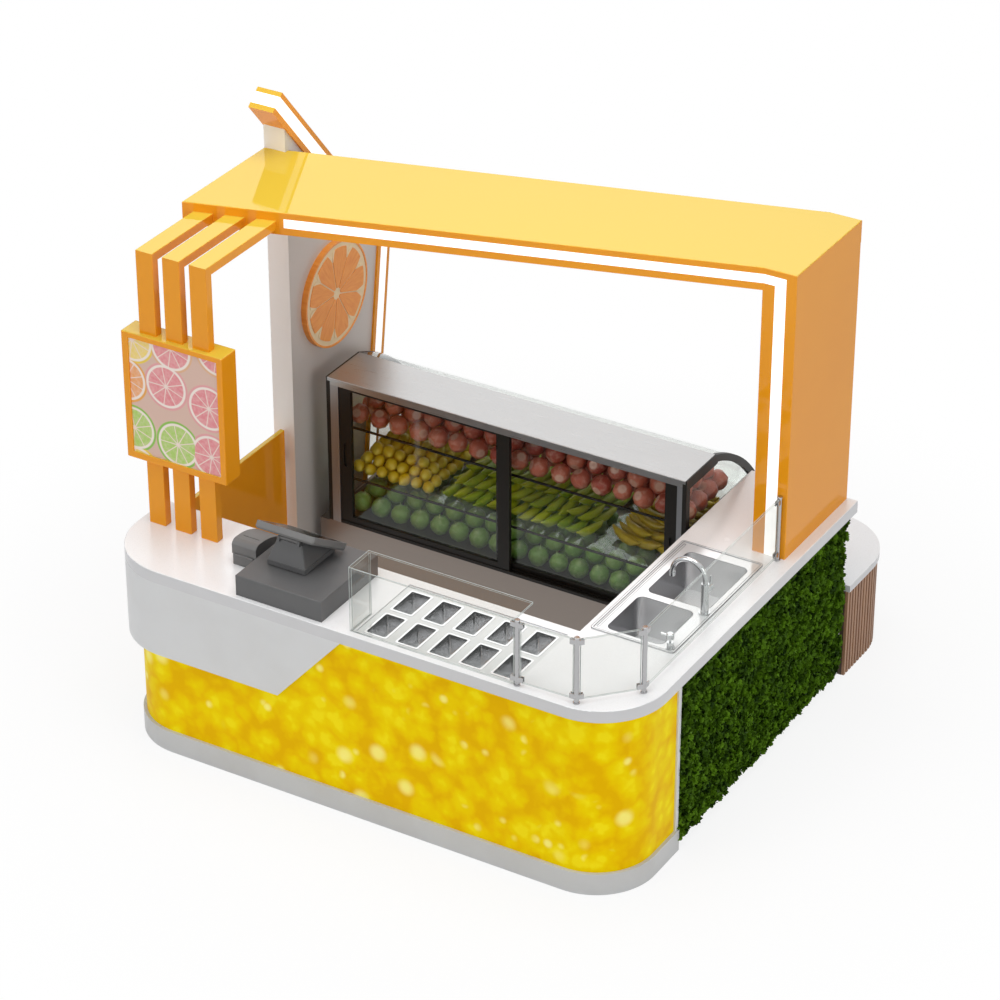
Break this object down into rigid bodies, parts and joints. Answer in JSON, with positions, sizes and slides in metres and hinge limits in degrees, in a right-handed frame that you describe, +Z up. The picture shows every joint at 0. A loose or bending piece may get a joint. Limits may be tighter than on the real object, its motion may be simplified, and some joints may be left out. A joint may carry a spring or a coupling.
{
  "type": "juice bar kiosk",
  "caption": "Island juice bar kiosk with a rounded backlit counter, orange canopy on posts, glass fruit display case with sliding doors, topping pans, sink and pay point.",
  "frame": {"origin": "middle of the footprint on the floor", "axes": "+Z up, customers' front counter at -Y, sink counter at +X, display case towards +Y"},
  "size_m": [2.804, 2.75, 2.72],
  "materials": {
    "white_top": "polished solid surface",
    "white_tray": "satin",
    "cabinet_board": "white laminate",
    "grey_band": "satin laminate",
    "yellow_light_panel": "backlit print, glowing",
    "plant_green": "preserved plant leaves",
    "orange_gloss": "gloss lacquered board",
    "light_diffuser": "glowing diffuser",
    "sign_print": "backlit print",
    "tower_grey": "satin laminate",
    "citrus_orange": "gloss",
    "citrus_cream": "gloss",
    "stainless": "brushed",
    "black_frame": "satin black",
    "clear_glass": "clear",
    "slat_backing": "dark stained board",
    "slat_wood": "oiled slats",
    "chrome": "polished",
    "charcoal_plastic": "fine grain",
    "screen_black": "gloss"
  },
  "bodies": {
    "kiosk": {"front_countertop": "white_top", "right_countertop": "white_top", "rear_ledge_top": "white_top", "topping_tray": "white_tray", "counter_bases": "cabinet_board", "front_counter_wall": "cabinet_board", "front_counter_panels": "cabinet_board", "right_counter_panels": "cabinet_board", "corner_trim": "cabinet_board", "front_apron": "grey_band", "plinth_band": "grey_band", "front_light_panel": "yellow_light_panel", "moss_panel": "plant_green", "roof_beam": "orange_gloss", "roof_leg": "orange_gloss", "canopy_posts": "orange_gloss", "sign_box_frame": "orange_gloss", "tower_trim": "orange_gloss", "canopy_light_strip": "light_diffuser", "tower_light_strip": "light_diffuser", "sign_face": "sign_print", "tower_wall": "tower_grey", "citrus_flesh": "citrus_orange", "citrus_pith": "citrus_cream", "case_base": "stainless", "vent_grille": "stainless", "case_jambs": "stainless", "case_top_panel": "stainless", "topping_well": "stainless", "topping_pans": "stainless", "guard_posts": "stainless", "sink_basin": "stainless", "gate_hardware": "stainless", "case_tracks": "black_frame", "case_end_frames": "black_frame", "case_shelf_frames": "black_frame", "case_end_glass": "clear_glass", "case_curved_glass": "clear_glass", "case_shelf_glass": "clear_glass", "guard_glass": "clear_glass", "rear_ledge_carcass": "slat_backing", "slat_cladding": "slat_wood", "sink_strainers": "chrome", "faucet_body": "chrome", "soap_base": "chrome", "cash_drawer_case": "charcoal_plastic", "pos_stand": "charcoal_plastic", "printer_body": "charcoal_plastic"},
    "gate": {"staff_gate": "orange_gloss"},
    "left_door": {"door_left_frame": "black_frame", "door_left_glass": "clear_glass"},
    "right_door": {"door_right_frame": "black_frame", "door_right_glass": "clear_glass"},
    "spout": {"faucet_spout": "chrome"},
    "lever": {"faucet_lever": "chrome"},
    "soap_head": {"soap_pump": "chrome"},
    "drawer": {"cash_drawer": "charcoal_plastic"},
    "screen": {"pos_screen": "charcoal_plastic", "pos_screen_glass": "screen_black"},
    "printer_lid": {"printer_cover": "charcoal_plastic"}
  },
  "joints": [
    {"name": "gate_swing", "type": "hinge", "parent": "kiosk", "child": "gate", "pos_m": [-1.322, 0.065, 0.5], "axis": [0, 0, -1], "range_deg": [0, 90]},
    {"name": "left_door_slide", "type": "slide", "parent": "kiosk", "child": "left_door", "axis": [1, 0, 0], "range_m": [0, 0.86]},
    {"name": "right_door_slide", "type": "slide", "parent": "kiosk", "child": "right_door", "axis": [-1, 0, 0], "range_m": [0, 0.86]},
    {"name": "spout_swivel", "type": "hinge", "parent": "kiosk", "child": "spout", "pos_m": [1.25, -0.425, 1.13], "axis": [0, 0, 1], "range_deg": [-70, 70]},
    {"name": "lever_turn", "type": "hinge", "parent": "kiosk", "child": "lever", "pos_m": [1.25, -0.38, 1.082], "axis": [0, -1, 0], "range_deg": [0, 75]},
    {"name": "soap_press", "type": "slide", "parent": "kiosk", "child": "soap_head", "axis": [0, 0, -1], "range_m": [0, 0.014], "stiffness_N_per_m": 400, "springref_m": -0.015},
    {"name": "drawer_slide", "type": "slide", "parent": "kiosk", "child": "drawer", "axis": [0, 1, 0], "range_m": [0, 0.35]},
    {"name": "screen_tilt", "type": "hinge", "parent": "kiosk", "child": "screen", "pos_m": [-0.444, -1.16541, 1.21459], "axis": [1, 0, 0], "range_deg": [0, 25]},
    {"name": "printer_lid_hinge", "type": "hinge", "parent": "kiosk", "child": "printer_lid", "pos_m": [-0.715, -1.141, 1.0262], "axis": [1, 0, 0], "range_deg": [0, 80]}
  ]
}
